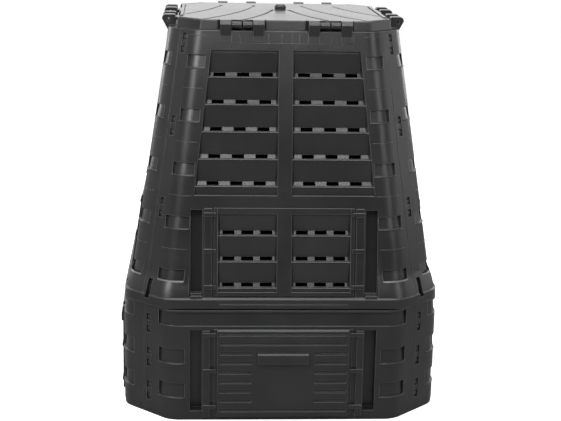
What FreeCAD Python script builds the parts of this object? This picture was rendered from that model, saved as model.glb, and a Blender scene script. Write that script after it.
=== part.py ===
import FreeCAD, Part
import math
import os
import Sketcher

# A square garden compost bin: a base ring, a tapered upper body and a lid.
# Every one of its four sides is the same, so one side is modelled and turned.
# Millimetres, +Z up, origin on the ground at the middle of the bin, front at -Y.

SIZES = [
    # base ring and upper body, outside sizes
    ("ring_half", 450, "middle to flat side of the base ring"),
    ("ring_flat", 317, "half a flat side of the ring, to the corner line"),
    ("ring_height", 322, "ground to the seam above the ring"),
    ("foot_half", 437, "upper body at the seam, middle to side"),
    ("foot_flat", 329, "half a flat side there"),
    ("top_half", 324, "upper body at the rim, middle to side"),
    ("top_flat", 241, "half a flat side there"),
    ("upper_height", 760, "seam to rim"),
    ("corner_radius", 70, "rounding of every upright edge"),
    ("wall", 4, "panel wall"),
    ("seam_shift", 10, "upright seam, sideways from the corner's middle"),
    ("seam_gap", 2.2, "gap at the upright seam"),
    ("seam_lap", 8, "strip behind the seam, to each side"),
    ("lap_gap", 0.6, "that strip to the next panel's inside"),
    ("lap_thick", 3.4, "thickness of the strip and of the hooks"),
    ("rim_depth", 34, "rim that the lid rests on"),
    ("ring_shelf", 29, "shelf that carries the upper body, and the foot"),
    # skirt at the foot of the upper body
    ("skirt_half", 447, "middle to the skirt's outside"),
    ("skirt_round", 5, "height of the skirt's rounded foot"),
    ("skirt_bevel", 3, "height of the bevel on the skirt's top"),
    ("skirt_drop", 4.5, "depth of that bevel"),
    ("flare_out", 7, "flare above the skirt, at its middle, out from the wall"),
    ("sill_height", 33, "seam to the sill under the hatch"),
    ("flare_height", 93, "seam to where the skirt's flare ends"),
    ("front_half", 264, "half width of the part of the face without a flare"),
    # louvred windows of the upper body, heights along the face
    ("window_inner", 20, "middle to a window"),
    ("window_low_edge", 251, "middle to the window's outer edge, at its foot"),
    ("window_top_edge", 205, "the same at its top"),
    ("window_low", 317, "foot of the windows"),
    ("window_top", 715.5, "top of the windows"),
    ("window_ledge", 343.5, "lowest ledge"),
    ("ledge_pitch", 75, "ledge to ledge"),
    ("slot_pitch", 65.5, "slot to slot along a ledge"),
    # louvres
    ("louvre_depth", 18, "ledge depth"),
    ("louvre_wall", 3, "thickness of a slat"),
    ("frame_depth", 24, "frame behind a window"),
    ("slot_width", 33.5, "vent slot"),
    ("slot_height", 10.5, "vent slot"),
    ("slot_rise", 1, "ledge to slot"),
    ("slat_foot", 12, "ledge to the foot of its slat"),
    ("ledge_bevel", 2.2, "bevel of a ledge's front edge"),
    ("ramp", 4, "sloped posts between the slots, out from the slat's foot"),
    ("setback", 2.5, "top of a slat, in from the face"),
    ("knee", 6.5, "foot of a slat's steep band, in from the face"),
    ("head_setback", 8.5, "top of the highest slat, in from the face"),
    ("cheek_draw", 8, "how far a window's sides draw in at the back"),
    ("bevel", 17, "height of the steep band at a slat's top"),
    # hatch
    ("hatch_half", 195, "half width of the hatch"),
    ("hatch_low", 37.5, "foot of the hatch"),
    ("hatch_top", 282.7, "top of the hatch"),
    ("hatch_proud", 4, "hatch face, out from the wall"),
    ("hatch_window_inner", 20.5, "middle to a hatch window"),
    ("hatch_window_edge", 184, "middle to its outer edge"),
    ("hatch_window_low", 48, "foot of the hatch windows"),
    ("hatch_window_top", 265.5, "top of the hatch windows"),
    ("hatch_ledge", 61.5, "lowest ledge of the hatch"),
    ("hatch_pitch", 73, "ledge to ledge"),
    ("hatch_slot_pitch", 52.5, "slot to slot"),
    ("hatch_lift", 11, "how far the hatch lifts to clear its claws"),
    # guides beside the hatch and the door
    ("flange", 9, "edge flange that runs under the claws"),
    ("flange_thick", 2.4, "thickness of that flange"),
    ("slide_gap", 0.3, "flange to wall and flange to claw"),
    ("hatch_side_gap", 5, "hatch to its guide bars"),
    ("door_side_gap", 12, "door to its guide bars"),
    ("claw_height", 11, "height of a claw"),
    ("hatch_bar_width", 23, "width of a hatch guide bar"),
    ("door_bar_width", 19, "width of a door guide bar"),
    ("claw_proud", 2.5, "claw, out from its bar"),
    ("hatch_bar_proud", 5, "hatch guide bar, out from the wall"),
    ("hatch_claw_pitch", 101, "claw to claw"),
    ("hatch_claw_low", 62, "middle of the lowest claw"),
    ("door_bar_proud", 8, "door guide bar, out from the wall"),
    ("door_claw_pitch", 106, "claw to claw"),
    ("door_claw_low", 42, "middle of the lowest claw"),
    # deep upright grooves beside the guides
    ("groove_inner", 227, "middle to a groove"),
    ("groove_width", 33, "width of a groove"),
    ("groove_depth", 26, "depth of an upper groove"),
    ("groove_low", 44.5, "foot of an upper groove"),
    ("groove_top", 277, "top of an upper groove"),
    ("ring_groove_depth", 32, "depth of a ring groove"),
    ("ring_groove_low", 28, "foot of a ring groove"),
    ("ring_groove_top", 266, "top of a ring groove"),
    # door of the ring
    ("door_half", 193, "half width of the door"),
    ("door_low", 14, "foot of the door"),
    ("door_top", 269, "top of the door"),
    ("door_proud", 10, "door face, out from the wall"),
    ("door_plate", 6, "thickness of the door"),
    ("door_overlap", 11, "how far the door covers its opening's edge"),
    ("rib_pitch", 28, "groove to groove on the door"),
    ("rib_low", 27, "lowest groove"),
    ("rib_groove", 10, "height of a groove"),
    ("rib_depth", 4.5, "depth of a groove"),
    ("rib_lip", 3, "height of a groove's sloped lower side"),
    ("rib_half", 178, "middle to the grooves' ends"),
    ("plain_half", 88, "half width of the plain middle of the door"),
    ("grip_half", 71, "half width of the finger lip"),
    ("grip_low", 172, "foot of the finger lip"),
    ("grip_height", 30, "height of the finger lip"),
    ("grip_proud", 12, "finger lip, out from the door"),
    # recesses on the rounded upright edges
    ("pocket_first", 92, "seam to the middle of the lowest recess"),
    ("pocket_pitch", 146.3, "recess to recess"),
    ("pocket_height", 34, "height of a recess"),
    ("pocket_wide", 78, "width of the lowest recess"),
    ("pocket_narrow", 52, "width of the top recess"),
    ("pocket_depth", 7, "depth of a recess at its top"),
    ("pocket_shallow", 4.5, "depth of a recess at its foot"),
    ("ring_pocket_shallow", 4.5, "the same on the ring"),
    ("pocket_reach", 33, "how far a recess's backing reaches in at its sides"),
    ("ring_pocket_first", 67, "ground to the foot of the lowest ring recess"),
    ("ring_pocket_pitch", 100, "recess to recess on the ring"),
    ("ring_pocket_height", 42, "height of a ring recess"),
    ("channel_low", 277, "ground to the foot of the long channel"),
    ("channel_top", 317, "ground to its top"),
    ("channel_shallow", 3.5, "depth of the long recess at its foot"),
    ("channel_wrap", 30, "how far it runs past the corner line"),
    # hooks that join two panels at a corner
    ("clip_first", 47, "seam to the middle of the lowest hook"),
    ("clip_pitch", 229.5, "hook to hook"),
    ("ring_clip_first", 68, "ground to the middle of the lowest ring hook"),
    ("ring_clip_pitch", 100, "hook to hook on the ring"),
    ("clip_aside", 10, "corner's middle to the middle of a slot"),
    ("clip_slot", 56, "height of a hook's slot"),
    ("clip_width", 18, "width of a hook's slot"),
    ("clip_gap", 4, "hook to slot edge, sideways"),
    ("tooth_low", 13, "middle of a hook to the near side of its teeth"),
    ("tooth_height", 7, "height of a hook's tooth"),
    ("clip_cover", 3, "how far the tongue reaches past the slot"),
    ("clip_face", 2.2, "hook's face, in from the wall's outside"),
    ("key_half", 8, "half height of the key that fills the slot's width"),
    # hinge ears, knuckles and pins
    ("ear_near", 61, "middle to the first ear"),
    ("ear_width", 30, "width of an ear"),
    ("ear_gap", 60, "room between two ears"),
    ("ear_drop", 28, "rim to the ear's foot"),
    ("ear_rise", 14, "pins' axis to the top of an ear"),
    ("ear_out", 18, "pins' axis to the outside of an ear"),
    ("ear_in", 20, "pins' axis to the back of an ear"),
    ("ear_round", 8, "rounding of an ear's top"),
    ("ear_taper", 31, "height over which an ear tapers to the wall"),
    ("ear_proud", 1.2, "foot of an ear, out from the wall"),
    ("pin_out", 326, "middle to the pins' axis"),
    ("pin_rise", 16, "rim to the pins' axis"),
    ("pin_radius", 5, "hinge pin"),
    ("pin_clearance", 0.06, "hinge pin in its bores"),
    ("knuckle_radius", 9, "lid knuckle"),
    ("knuckle_side", 2.5, "knuckle to ear"),
    ("knuckle_gap", 5, "knuckle to knuckle"),
    # lid
    ("lid_half", 302, "middle to the lid's side"),
    ("lid_flat", 235.5, "half a side of the lid"),
    ("lid_rise", 27, "height of the lid's rim"),
    ("lid_draft", 4, "how far the lid's rim leans in at its top"),
    ("lid_round", 2.5, "bevel of the lid's edge"),
    ("lid_corner", 9, "rounding of the lid's upright edges"),
    ("lid_wall", 14, "thickness of the lid's rim"),
    ("lid_peak", 6.5, "how far the lid's middle stands above its rim"),
    ("lid_seat", 0.3, "lid to the bin's rim"),
    ("bay_near", 54, "middle to a hinge bay"),
    ("bay_far", 188, "middle to its other end"),
    ("bay_depth", 10, "depth of a hinge bay"),
    ("line_width", 9, "width of the grooves on the lid"),
    ("line_depth", 2.8, "depth of the grooves on the lid"),
    ("line_slant", 19.5, "slant of the grooves, end to end"),
    ("line_radius", 900, "radius of the grooves"),
    ("border", 18, "side strip, in from the lid's edge"),
    ("strip_half", 190, "half length of a side strip"),
    ("strip_groove", 3, "groove beside that strip"),
    ("strip_proud", 3, "that strip, above the lid's rim"),
    ("corner_line", 17, "corner groove, in from the lid's edge"),
    # vent knob
    ("knob_radius", 17, "vent knob"),
    ("knob_height", 14, "height of the knob above the lid"),
    ("shank_radius", 6, "shank of the knob"),
    ("shank_clearance", 0.06, "shank in the lid"),
    ("clip_ring_radius", 12, "foot of the shank under the lid"),
    ("clip_ring_thick", 3, "thickness of that foot"),
]

ROWS = 5
HATCH_ROWS = 3
SLOTS = 3
POCKETS = 5
RING_POCKETS = 2
CLIPS = 4
RING_CLIPS = 3
CLAWS = 3
DOOR_GROOVES = 9
WHOLE_GROOVES = (0, 7, 8)
LID_LINES = ((121, -301, -22), (235, -301, 160), (277, -135, 165))
SIDES = ("front", "right", "back", "left")
HALF_ROOT = math.sqrt(0.5)
TAN_EIGHTH = math.tan(math.radians(22.5))

doc = FreeCAD.newDocument("compost_bin")
sheet = doc.addObject("Spreadsheet::Sheet", "Sizes")


class Size:
    """A number together with the sheet expression that gives it."""

    def __init__(self, value, text):
        self.value = value
        self.text = text

    def __add__(self, other):
        return joined(self, "+", other, self.value + number(other))

    def __radd__(self, other):
        return joined(other, "+", self, self.value + number(other))

    def __sub__(self, other):
        return joined(self, "-", other, self.value - number(other))

    def __rsub__(self, other):
        return joined(other, "-", self, number(other) - self.value)

    def __mul__(self, other):
        return joined(self, "*", other, self.value * number(other))

    def __rmul__(self, other):
        return joined(other, "*", self, self.value * number(other))

    def __truediv__(self, other):
        return joined(self, "/", other, self.value / number(other))

    def __rtruediv__(self, other):
        return joined(other, "/", self, number(other) / self.value)

    def __neg__(self):
        return joined(0, "-", self, -self.value)


def number(size):
    return size.value if isinstance(size, Size) else float(size)


def text(size):
    return size.text if isinstance(size, Size) else "%.9g" % size


def joined(left, sign, right, value):
    return Size(value, "(%s %s %s)" % (text(left), sign, text(right)))


def fill_sheet():
    """Writes each driving size into the sheet and returns them by name."""
    sizes = {}
    for row, (name, value, note) in enumerate(SIZES, start=1):
        sheet.set("A%d" % row, name.replace("_", " "))
        sheet.set("B%d" % row, str(value))
        sheet.set("C%d" % row, note)
        sheet.setAlias("B%d" % row, name)
        sizes[name] = Size(float(value), "Sizes." + name)
    doc.recompute()
    return sizes


S = fill_sheet()


def bind(thing, prop, size):
    """Ties a property to the sheet."""
    thing.setExpression(prop, text(size))


def move(thing, x, y, z):
    for axis, size in zip("xyz", (x, y, z)):
        bind(thing, "Placement.Base." + axis, size)


def box(name, low, high):
    """A block between two corners."""
    block = doc.addObject("Part::Box", name)
    for prop, start, end in zip(("Length", "Width", "Height"), low, high):
        bind(block, prop, end - start)
    move(block, *low)
    return block


def rod(name, start, length, radius):
    """A round bar along X."""
    bar = doc.addObject("Part::Cylinder", name)
    bar.Placement = FreeCAD.Placement(FreeCAD.Vector(), FreeCAD.Rotation(FreeCAD.Vector(0, 1, 0), 90))
    bind(bar, "Radius", radius)
    bind(bar, "Height", length)
    move(bar, *start)
    return bar


def fuse(name, shapes):
    if len(shapes) == 1:
        return shapes[0]
    joint = doc.addObject("Part::MultiFuse", name)
    joint.Shapes = shapes
    return joint


def cut(name, base, tool):
    result = doc.addObject("Part::Cut", name)
    result.Base = base
    result.Tool = tool
    return result


def common(name, base, tool):
    result = doc.addObject("Part::Common", name)
    result.Base = base
    result.Tool = tool
    return result


def mirrored(name, source):
    """The same on the other side of the plane X = 0."""
    other = doc.addObject("Part::Mirroring", name)
    other.Source = source
    other.Normal = FreeCAD.Vector(1, 0, 0)
    return other


def both_sides(name, source):
    return fuse(name, [source, mirrored(name + "_mirror", source)])


def draw(sketch, points, arcs):
    """Closed outline through points; arcs maps a point's index to the radius of the arc after it."""
    count = len(points)
    flat = [FreeCAD.Vector(number(x), number(y), 0) for x, y in points]
    ends = []
    for index in range(count):
        start, end = flat[index], flat[(index + 1) % count]
        if index not in arcs:
            sketch.addGeometry(Part.LineSegment(start, end), False)
            ends.append((1, 2))
            continue
        radius, centre = arcs[index]
        middle = FreeCAD.Vector(number(centre[0]), number(centre[1]), 0)
        out, on = start - middle, end - middle
        way = middle + (out + on).normalize() * number(radius)
        forward = out.cross(on).z > 0
        sketch.addGeometry(Part.Arc(start, way, end) if forward else Part.Arc(end, way, start), False)
        ends.append((1, 2) if forward else (2, 1))
    for index in range(count):
        following = (index + 1) % count
        sketch.addConstraint(Sketcher.Constraint(
            "Coincident", index, ends[index][1], following, ends[following][0]))
    for index, (x, y) in enumerate(points):
        for kind, size in (("DistanceX", x), ("DistanceY", y)):
            place = sketch.addConstraint(Sketcher.Constraint(
                kind, -1, 1, index, ends[index][0], number(size)))
            bind(sketch, "Constraints[%d]" % place, size)
    for index, (radius, centre) in arcs.items():
        place = sketch.addConstraint(Sketcher.Constraint("Radius", index, number(radius)))
        bind(sketch, "Constraints[%d]" % place, radius)


def plane_of(body, role):
    return next(item for item in body.Origin.OriginFeatures if item.Role == role)


def body_sketch(body, name, height, role="XY_Plane"):
    sketch = body.newObject("Sketcher::SketchObject", name)
    sketch.AttachmentSupport = [(plane_of(body, role), "")]
    sketch.MapMode = "FlatFace"
    bind(sketch, "AttachmentOffset.Base.z", height)
    return sketch


def bar_of_section(name, points, start, length):
    """A prism along X from an outline in the Y-Z plane."""
    body = doc.addObject("PartDesign::Body", name)
    sketch = body_sketch(body, name + "_section", start, "YZ_Plane")
    draw(sketch, points, {})
    pad = body.newObject("PartDesign::Pad", name + "_pad")
    pad.Profile = sketch
    bind(pad, "Length", length)
    return body


def plate_of_face(name, points, near, far):
    """A prism into the bin from an outline on a face: points are (sideways, height)."""
    body = doc.addObject("PartDesign::Body", name)
    sketch = body_sketch(body, name + "_outline", -far, "XZ_Plane")
    draw(sketch, points, {})
    pad = body.newObject("PartDesign::Pad", name + "_pad")
    pad.Profile = sketch
    bind(pad, "Length", far - near)
    return body


def tower(name, levels):
    """A solid through outlines in plan: levels are (height, points, arcs)."""
    body = doc.addObject("PartDesign::Body", name)
    sketches = []
    for index, (height, points, arcs) in enumerate(levels):
        sketch = body_sketch(body, "%s_%d" % (name, index), height)
        draw(sketch, points, arcs)
        sketches.append(sketch)
    loft = body.newObject("PartDesign::AdditiveLoft", name + "_loft")
    loft.Profile = sketches[0]
    loft.Sections = sketches[1:]
    loft.Ruled = True
    return body


def side_outline(face, out, deep):
    """One level of a side panel: a flat, two rounded corners and two half corner faces.

    face gives the middle-to-side and half-flat sizes there, out and deep are how far the
    section reaches out from and in from that face.
    """
    half, flat = face
    radius = S["corner_radius"]
    turn = radius * TAN_EIGHTH
    corner_face = (half - flat) * math.sqrt(2)
    points = {}
    arcs = {}
    for side, shift in ((1, -S["seam_shift"]), (-1, S["seam_shift"])):
        reach = corner_face / 2 + shift - S["seam_gap"] / 2
        centre = ((flat - turn) * side, radius - half)
        for layer, offset in (("outer", out), ("inner", -deep)):
            bend = radius + offset
            end = (reach + offset) * HALF_ROOT
            points[side, layer] = [
                (centre[0], -half - offset),
                (centre[0] + side * bend * HALF_ROOT, centre[1] - bend * HALF_ROOT),
                (side * (flat + end), reach * HALF_ROOT - offset * HALF_ROOT - half),
            ]
            arcs[side, layer] = (bend, centre)
    left, right = points[-1, "outer"], points[1, "outer"]
    inner_left, inner_right = points[-1, "inner"], points[1, "inner"]
    outline = list(reversed(left)) + right + list(reversed(inner_right)) + inner_left
    rounds = {1: arcs[-1, "outer"], 3: arcs[1, "outer"], 7: arcs[1, "inner"], 9: arcs[-1, "inner"]}
    return outline, rounds


def side_band(name, levels):
    """A solid that follows a side panel through several levels: (height, face, out, deep)."""
    return tower(name, [(height, *side_outline(face, out, deep)) for height, face, out, deep in levels])


def upper_face(rise):
    """Middle-to-side and half-flat sizes of the upper body, a height above its foot."""
    share = rise / S["upper_height"]
    half = S["foot_half"] - (S["foot_half"] - S["top_half"]) * share
    flat = S["foot_flat"] - (S["foot_flat"] - S["top_flat"]) * share
    return half, flat


RING_FACE = (S["ring_half"], S["ring_flat"])
LEAN = math.degrees(math.atan2(number(S["foot_half"] - S["top_half"]), number(S["upper_height"])))


def lean_on_face(group):
    """Stands a group of details on the sloping front face of the upper body."""
    group.Placement = FreeCAD.Placement(
        FreeCAD.Vector(), FreeCAD.Rotation(FreeCAD.Vector(1, 0, 0), -LEAN))
    move(group, 0, -S["foot_half"], S["ring_height"])
    return group


def stand_on_ring(group):
    """Moves a group of details onto the upright front face of the ring."""
    move(group, 0, -S["ring_half"], 0)
    return group


def place_on_corner(group, side, face, lean, height):
    """Puts a group on the middle of a corner face: side 1 is the right corner, -1 the left."""
    turn = FreeCAD.Rotation(FreeCAD.Vector(0, 0, 1), 45 * side)
    tip = FreeCAD.Rotation(FreeCAD.Vector(1, 0, 0), -lean)
    group.Placement = FreeCAD.Placement(FreeCAD.Vector(), turn.multiply(tip))
    middle = (face[0] + face[1]) / 2
    move(group, middle * side, -middle, height)
    return group


def vertex_box(name, face, low, height, width, reach):
    """A block across the rounded upright edge on the right."""
    half, flat = face
    block = doc.addObject("Part::Box", name)
    block.Placement = FreeCAD.Placement(
        FreeCAD.Vector(), FreeCAD.Rotation(FreeCAD.Vector(0, 0, 1), 22.5))
    bind(block, "Length", width)
    bind(block, "Width", reach * 2)
    bind(block, "Height", height)
    across, along = math.cos(math.radians(22.5)), math.sin(math.radians(22.5))
    x = flat - width * (across / 2) + reach * along
    y = -half - width * (along / 2) - reach * across
    move(block, x, y, low)
    return block


def upper_band(name, stops):
    """A band of the upper body: stops are (rise, out, deep)."""
    return side_band(name, [(S["ring_height"] + rise, upper_face(rise), out, deep)
                            for rise, out, deep in stops])


def ring_band(name, stops):
    return side_band(name, [(rise, RING_FACE, out, deep) for rise, out, deep in stops])


def upper_shell():
    """Wall, skirt and rim of one upper panel."""
    def out(rise, drop):
        return S["skirt_half"] - drop - upper_face(rise)[0]

    edge = S["skirt_round"]
    sill = S["sill_height"]
    shoulder = sill - S["skirt_bevel"]
    wall = S["wall"]
    top = S["upper_height"]
    shell = upper_band("upper_wall", [
        (0, out(0, 4), wall),
        (edge, out(edge, 0), wall),
        (shoulder, out(shoulder, 0), wall),
        (sill, out(sill, S["skirt_drop"]), wall),
        ((sill + S["flare_height"]) / 2, S["flare_out"], wall),
        (S["flare_height"], 0, wall),
        (top, 0, wall),
    ])
    rim = upper_band("upper_rim", [(top - wall, 0, S["rim_depth"]), (top, 0, S["rim_depth"])])
    return [shell, rim]


def recesses(prefix, band, spots):
    """Backing blocks and cutting tools of the recesses on the rounded edges.

    spots are (rise, foot, face, width, height, shallow) of each recess.
    """
    wall = S["wall"]
    depth = S["pocket_depth"]
    backs = []
    tools = []
    for index, (rise, low, face, width, height, shallow) in enumerate(spots):
        name = "%s_recess_%d" % (prefix, index)
        backs.append(vertex_box(name + "_back", face, low - wall, height + wall * 2,
                                width + wall * 2, S["pocket_reach"]))
        mouth = vertex_box(name + "_mouth", face, low, height, width, S["pocket_reach"])
        slope = band(name + "_floor", [(rise, 3, shallow), (rise + height, 3, depth)])
        tools.append(common(name, slope, both_sides(name + "_mouths", mouth)))
    return backs, tools


def upper_recesses():
    spots = []
    for index in range(POCKETS):
        height = S["pocket_height"]
        rise = S["pocket_first"] + S["pocket_pitch"] * index - height / 2
        share = index / (POCKETS - 1)
        width = S["pocket_wide"] * (1 - share) + S["pocket_narrow"] * share
        face = upper_face(rise + height / 2)
        spots.append((rise, S["ring_height"] + rise, face, width, height, S["pocket_shallow"]))
    backs, tools = recesses("upper", upper_band, spots)
    depth = S["pocket_depth"] + S["wall"]
    thick = upper_band("upper_backing", [(0, 0, depth), (S["upper_height"], 0, depth)])
    backing = common("upper_recess_backs", thick, both_sides("upper_backs", fuse("upper_back", backs)))
    return backing, tools


def ring_recesses():
    spots = []
    for index in range(RING_POCKETS):
        rise = S["ring_pocket_first"] + S["ring_pocket_pitch"] * index
        spots.append((rise, rise, RING_FACE, S["pocket_wide"], S["ring_pocket_height"],
                      S["ring_pocket_shallow"]))
    backs, tools = recesses("ring", ring_band, spots)
    depth = S["pocket_depth"] + S["wall"]
    thick = ring_band("ring_backing", [(0, 0, depth), (S["ring_height"], 0, depth)])
    backing = common("ring_recess_backs", thick, both_sides("ring_backs", fuse("ring_back", backs)))
    return backing, tools


def window_outline(inner, low_edge, top_edge, low, top, grow):
    """A window's outline on a face, larger all round by grow."""
    return [(inner - grow, low - grow), (low_edge + grow, low - grow),
            (top_edge + grow, top + grow), (inner - grow, top + grow)]


def cheek(name, face, window, side):
    """The inclined side wall of a window on the right: side 1 is the outer one, -1 the inner."""
    inner, low_edge, top_edge, low, top = window
    back = face + S["louvre_depth"] + S["louvre_wall"]
    levels = []
    for height, edge in ((low, low_edge if side > 0 else inner), (top, top_edge if side > 0 else inner)):
        outside = edge + 0.4 * side
        levels.append((height, [(outside, face), (outside, back), (edge - S["cheek_draw"] * side, back)], {}))
    return tower(name, levels)


def louvres(name, face, window, first, pitch, rows, slot_pitch):
    """Slats with vent slots that fill the window on the right; face is where they start."""
    wall = S["louvre_wall"]
    deep = face + S["louvre_depth"]
    bevel = S["ledge_bevel"]
    inner, low_edge, top_edge, low, top = window
    slats = []
    slots = []
    for row in range(-1, rows):
        ledge = first + pitch * row
        foot = ledge + S["slat_foot"]
        rise = ledge + pitch - wall / 2
        brink = face + S["head_setback" if row == rows - 1 else "setback"]
        knee = face + S["knee"]
        section = [
            (face, ledge - wall), (face, ledge - bevel), (face + bevel, ledge), (deep - S["ramp"], ledge),
            (deep, foot), (knee, rise - S["bevel"]), (brink, rise), (brink + wall, rise),
            (knee + wall, rise - S["bevel"]), (deep + wall, foot + 1), (deep + wall, ledge - wall),
        ]
        slats.append(bar_of_section("%s_slat_%d" % (name, row + 1), section,
                                    inner - 1, low_edge + 1 - inner + 1))
        if row < 0:
            continue
        edge = low_edge + (top_edge - low_edge) * ((ledge - low) / (top - low))
        for place in range(SLOTS):
            middle = (inner + edge) / 2 + slot_pitch * (place - 1)
            floor = ledge + S["slot_rise"]
            slots.append(box("%s_slot_%d_%d" % (name, row, place),
                             (middle - S["slot_width"] / 2, deep - 9, floor),
                             (middle + S["slot_width"] / 2, deep + 9, floor + S["slot_height"])))
    stop = plate_of_face(name + "_stop", window_outline(inner, low_edge, top_edge, low, top, 0.5),
                         face - 1, face + S["frame_depth"])
    open_slats = cut(name + "_open", fuse(name + "_slats", slats), fuse(name + "_slots", slots))
    cheeks = [cheek("%s_cheek_%s" % (name, end), face, window, side)
              for end, side in (("outer", 1), ("inner", -1))]
    filled = fuse(name + "_filled", [open_slats] + cheeks)
    return both_sides(name + "_louvres", common(name + "_louvres_right", filled, stop))


def upper_details():
    """Everything on the sloping face of an upper panel: (before the cuts, cuts, after the cuts)."""
    wall = S["wall"]
    window = (S["window_inner"], S["window_low_edge"], S["window_top_edge"],
              S["window_low"], S["window_top"])
    frame = plate_of_face("window_frame", window_outline(*window, S["louvre_wall"]), 1, S["frame_depth"])
    hole = plate_of_face("window_hole", window_outline(*window, 0), -20, S["frame_depth"] + 20)
    slats = louvres("window", Size(0.0, "0"), window, S["window_ledge"], S["ledge_pitch"],
                    ROWS, S["slot_pitch"])

    inner = S["groove_inner"]
    outer = inner + S["groove_width"]
    depth = S["groove_depth"]
    back = box("groove_back", (inner - wall, 1, S["groove_low"] - wall),
               (outer + wall, depth + wall, S["groove_top"] + wall))
    groove = box("groove", (inner, -20, S["groove_low"]), (outer, depth, S["groove_top"]))
    tab = box("snap_tab", (inner, -13, S["sill_height"] - 2), (outer, 1, S["sill_height"] + 5))

    opening_half = S["hatch_window_edge"] + S["louvre_wall"] + 1
    opening = box("hatch_opening", (-opening_half, -20, S["hatch_window_low"] - S["louvre_wall"] - 1),
                  (opening_half, 30, S["hatch_window_top"] + S["louvre_wall"] + 1 + S["hatch_lift"]))
    front = S["front_half"]
    relief = box("flare_relief", (-front, -40, S["sill_height"] * 1.01), (front, 0, S["flare_height"] + 12))

    before = lean_on_face(fuse("upper_frames", [both_sides("window_frames", frame),
                                                both_sides("groove_backs", back)]))
    cuts = lean_on_face(fuse("upper_cuts", [both_sides("window_holes", hole), opening, relief,
                                            both_sides("grooves", groove)]))
    guides = guide_rail("hatch", S["hatch_half"], S["hatch_side_gap"], S["hatch_bar_width"],
                        S["hatch_bar_proud"], S["sill_height"] - 2, S["hatch_top"] - 2,
                        S["hatch_claw_low"], S["hatch_claw_pitch"])
    after = lean_on_face(fuse("upper_fittings", [slats, guides, both_sides("snap_tabs", tab)]))
    return before, cuts, after


def guide_rail(name, half, gap, width, proud, low, top, claw_low, claw_pitch):
    """Bar and claws beside a hatch or a door."""
    start = half + gap
    under = S["flange_thick"] + S["slide_gap"] * 2
    reach = half - S["flange"] + 3
    pieces = [box(name + "_bar", (start, -proud, low), (start + width, 1, top))]
    for index in range(CLAWS):
        middle = claw_low + claw_pitch * index
        pieces.append(box("%s_claw_%d" % (name, index),
                          (reach, -proud - S["claw_proud"], middle - S["claw_height"] / 2),
                          (start + width, -under, middle + S["claw_height"] / 2)))
    return both_sides(name + "_guides", fuse(name + "_guide", pieces))


def clips(name, first, pitch, count, low, high):
    """Slots for one end of a panel, and a lap strip with hooks for the other, on a corner face."""
    near = S["wall"] + S["lap_gap"]
    back = near + S["lap_thick"]
    lap = S["seam_lap"]
    seam = -S["seam_shift"]
    end = seam - S["seam_gap"] / 2
    middle = S["clip_aside"]
    half_width = S["clip_width"] / 2
    half_tooth = half_width - S["clip_gap"]
    half_key = half_width - S["slide_gap"]
    slots = []
    hooks = [box(name + "_lap_root", (end - lap, S["wall"] - 1, low), (end, back, high)),
             box(name + "_lap", (end - 1, near, low), (seam + lap, back, high))]
    for index in range(count):
        height = first + pitch * index
        half_slot = S["clip_slot"] / 2
        half_tongue = half_slot + S["clip_cover"]
        key = S["key_half"]
        slots.append(box("%s_clip_slot_%d" % (name, index),
                         (middle - half_width, -20, height - half_slot),
                         (middle + half_width, back + 4, height + half_slot)))
        hooks.append(box("%s_hook_tongue_%d" % (name, index), (end - 1, near, height - half_tongue),
                         (middle + half_width + S["clip_cover"], back, height + half_tongue)))
        hooks.append(box("%s_hook_key_%d" % (name, index),
                         (middle - half_key, S["clip_face"] - 0.7, height - key),
                         (middle + half_key, back, height + key)))
        for end_name, foot in (("low", -S["tooth_low"] - S["tooth_height"]), ("high", S["tooth_low"])):
            hooks.append(box("%s_hook_tooth_%s_%d" % (name, end_name, index),
                             (middle - half_tooth, S["clip_face"], height + foot),
                             (middle + half_tooth, back, height + foot + S["tooth_height"])))
    return fuse(name + "_clip_slots", slots), fuse(name + "_hooks", hooks)


PIN_HEIGHT = S["ring_height"] + S["upper_height"] + S["pin_rise"]


def hinge_ears():
    """Two pairs of ears on the rim of a panel, with bores for a pin."""
    rim = S["ring_height"] + S["upper_height"]
    slope = (S["foot_half"] - S["top_half"]) / S["upper_height"]
    outside = -S["pin_out"] - S["ear_out"]
    inside = S["ear_in"] - S["pin_out"]
    top = PIN_HEIGHT + S["ear_rise"]
    knee = PIN_HEIGHT + 2
    waist = knee - S["ear_taper"]
    foot = rim - S["ear_drop"]
    proud = S["ear_proud"]
    turn = S["ear_round"]
    profile = [
        (inside, rim - 3), (inside, top - 3), (inside - 3, top), (outside + turn, top),
        (outside + turn / 4, top - turn / 2), (outside, knee),
        (-S["top_half"] - (rim - waist) * slope - proud, waist),
        (-S["top_half"] - S["ear_drop"] * slope - proud, foot),
        (2 - S["top_half"] - S["ear_drop"] * slope, foot), (3 - S["top_half"], rim - 3),
    ]
    ears = []
    for index in range(2):
        near = S["ear_near"] + (S["ear_width"] + S["ear_gap"]) * index
        ears.append(bar_of_section("ear_%d" % index, profile, near, S["ear_width"]))
    bore = rod("ear_bore", (S["ear_near"] - 1, -S["pin_out"], PIN_HEIGHT), ear_span() + 2,
               S["pin_radius"] + S["pin_clearance"])
    return both_sides("hinge_ears", cut("hinge_ear_pair", fuse("ear_pair", ears), bore))


def ear_span():
    return S["ear_width"] * 2 + S["ear_gap"]


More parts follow.
